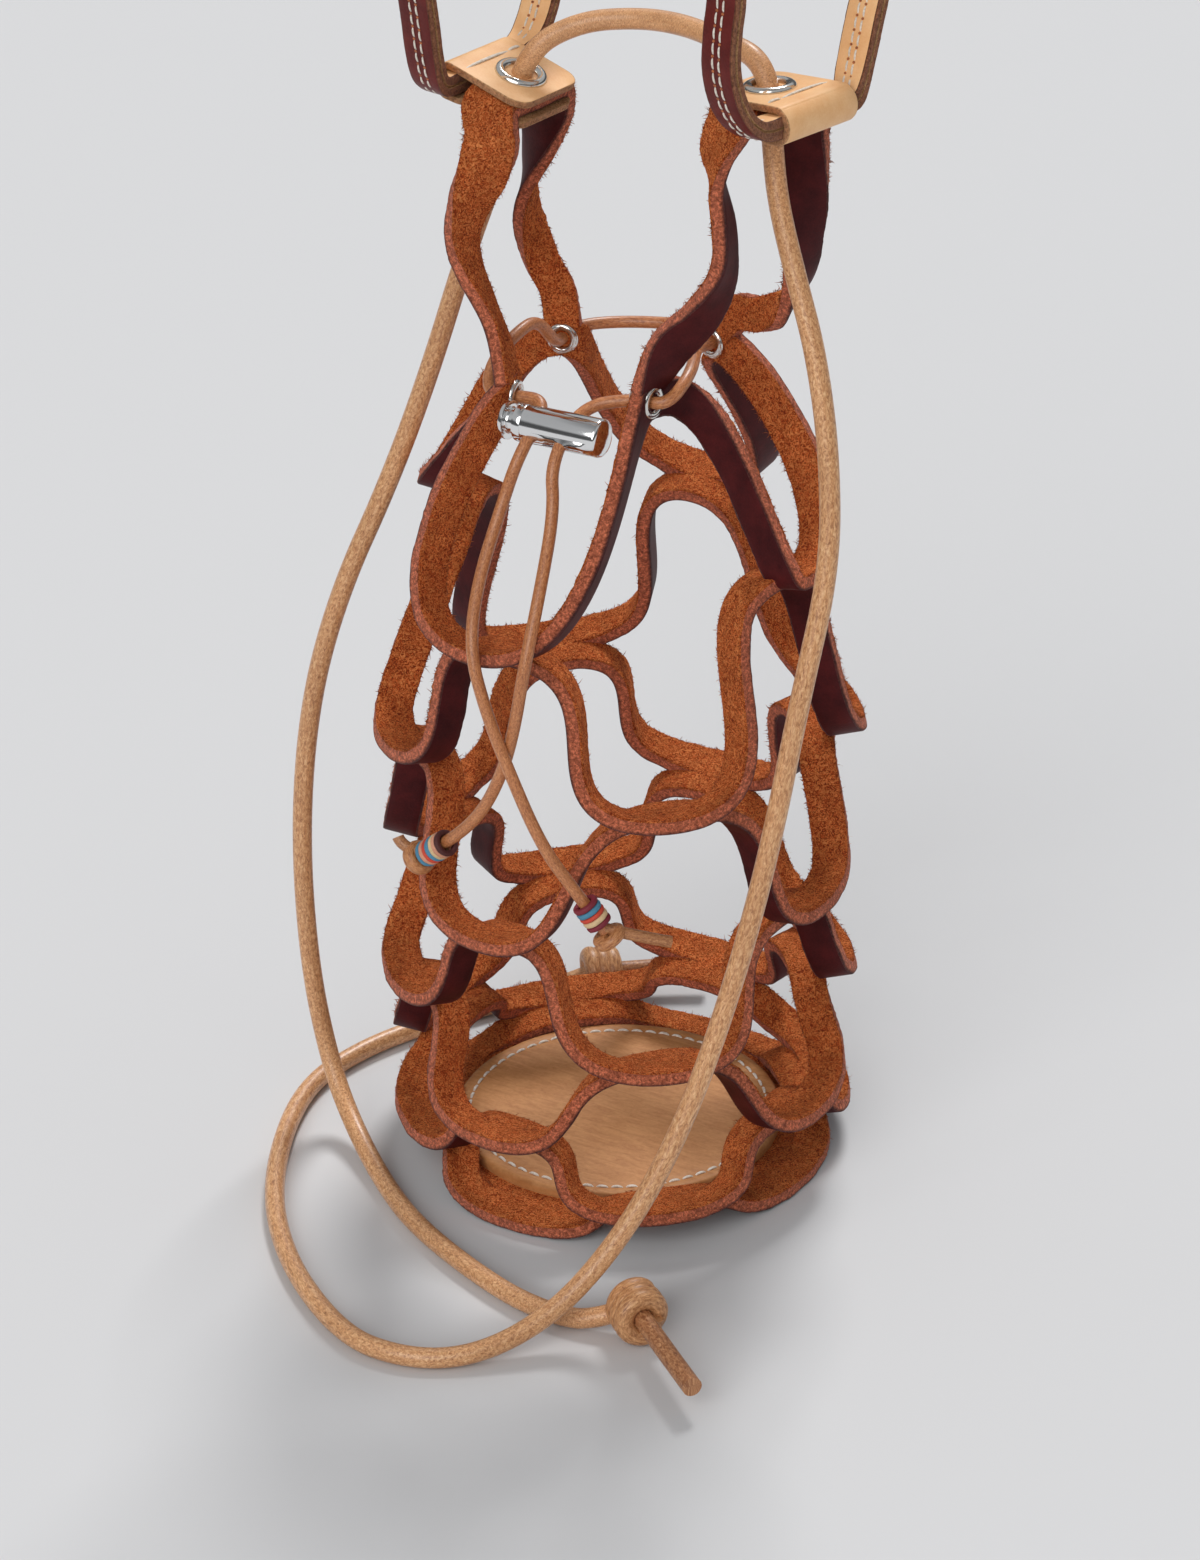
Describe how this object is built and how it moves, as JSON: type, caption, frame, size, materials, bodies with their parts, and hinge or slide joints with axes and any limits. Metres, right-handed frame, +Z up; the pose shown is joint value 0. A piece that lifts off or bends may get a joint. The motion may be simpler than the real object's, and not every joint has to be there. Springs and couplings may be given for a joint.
{
  "type": "leather bottle carrier",
  "caption": "Slit-leather net carrier for one bottle: a stretchy strip net on a round base, drawn in by a locking cord, with loop handles and a knotted shoulder cord.",
  "frame": {"origin": "centre of the round base on the ground plane", "axes": "+Z up, +X through the right handle tab, -Y towards the cord lock (front)"},
  "size_m": [0.1625, 0.1973, 0.394],
  "materials": {
    "dark_leather": "smooth grain outside, suede inside",
    "maroon_leather": "smooth grain",
    "tan_leather": "smooth natural",
    "shoulder_cord": "round cord",
    "string_leather": "round cord",
    "nickel": "nickel plated",
    "chrome_plate": "polished",
    "spring_steel": "bright",
    "thread": "waxed thread",
    "bead_dark": "dyed",
    "bead_blue": "dyed",
    "bead_red": "dyed",
    "bead_cream": "dyed",
    "bead_pink": "dyed"
  },
  "bodies": {
    "carrier": {"net_row_1": "dark_leather", "net_row_2": "dark_leather", "net_row_3": "dark_leather", "net_row_4": "dark_leather", "net_row_5": "dark_leather", "net_row_6": "dark_leather", "net_row_7": "dark_leather", "base_disc": "dark_leather", "base_insert": "tan_leather", "base_seam": "thread", "string_eyelet_1": "nickel", "string_eyelet_2": "nickel", "string_eyelet_3": "nickel", "string_eyelet_4": "nickel", "left_hoop": "dark_leather", "left_tab": "tan_leather", "left_tab_eyelet": "nickel", "left_tab_washer": "nickel", "left_tab_thread": "thread", "right_hoop": "dark_leather", "right_tab": "tan_leather", "right_tab_eyelet": "nickel", "right_tab_washer": "nickel", "right_tab_thread": "thread", "drawstring_ring": "string_leather", "string_tail_long": "string_leather", "string_tail_short": "string_leather", "shoulder_cord_left": "shoulder_cord", "shoulder_cord_top": "shoulder_cord", "shoulder_cord_right": "shoulder_cord", "long_tail_knot": "string_leather", "short_tail_knot": "string_leather", "front_knot": "shoulder_cord", "back_knot": "shoulder_cord"},
    "lock": {"lock_barrel": "chrome_plate", "lock_spring": "spring_steel"},
    "plunger": {"lock_plunger": "chrome_plate"},
    "left_handle": {"left_handle_outer": "maroon_leather", "left_handle_lining": "tan_leather"},
    "right_handle": {"right_handle_outer": "maroon_leather", "right_handle_lining": "tan_leather"},
    "long_beads": {"long_bead_1": "bead_dark", "long_bead_2": "bead_blue", "long_bead_3": "bead_red", "long_bead_4": "bead_cream", "long_bead_5": "bead_dark"},
    "short_beads": {"short_bead_1": "bead_dark", "short_bead_2": "bead_pink", "short_bead_3": "bead_cream", "short_bead_4": "bead_blue", "short_bead_5": "bead_red", "short_bead_6": "bead_pink", "short_bead_7": "bead_blue"}
  },
  "joints": [
    {"name": "left_handle_swing", "type": "hinge", "parent": "carrier", "child": "left_handle", "pos_m": [-0.03431, 0.00116, 0.28071], "axis": [-0.1045, -0.9945, 0], "range_deg": [-14, 75]},
    {"name": "right_handle_swing", "type": "hinge", "parent": "carrier", "child": "right_handle", "pos_m": [0.05435, -0.00255, 0.28416], "axis": [0.225, 0.9744, 0], "range_deg": [-14, 75]},
    {"name": "lock_slide", "type": "slide", "parent": "carrier", "child": "lock", "axis": [0, -0.866, -0.5], "range_m": [0, 0.004]},
    {"name": "plunger_press", "type": "slide", "parent": "lock", "child": "plunger", "axis": [1, 0, 0], "range_m": [0, 0.002], "stiffness_N_per_m": 600, "springref_m": -0.003, "deforming": ["lock_spring"]},
    {"name": "long_beads_slide", "type": "slide", "parent": "carrier", "child": "long_beads", "axis": [-0.4886, -0.2522, 0.8353], "range_m": [0, 0.003]},
    {"name": "short_beads_slide", "type": "slide", "parent": "carrier", "child": "short_beads", "axis": [0.7776, -0.1414, 0.6127], "range_m": [0, 0.002]}
  ]
}
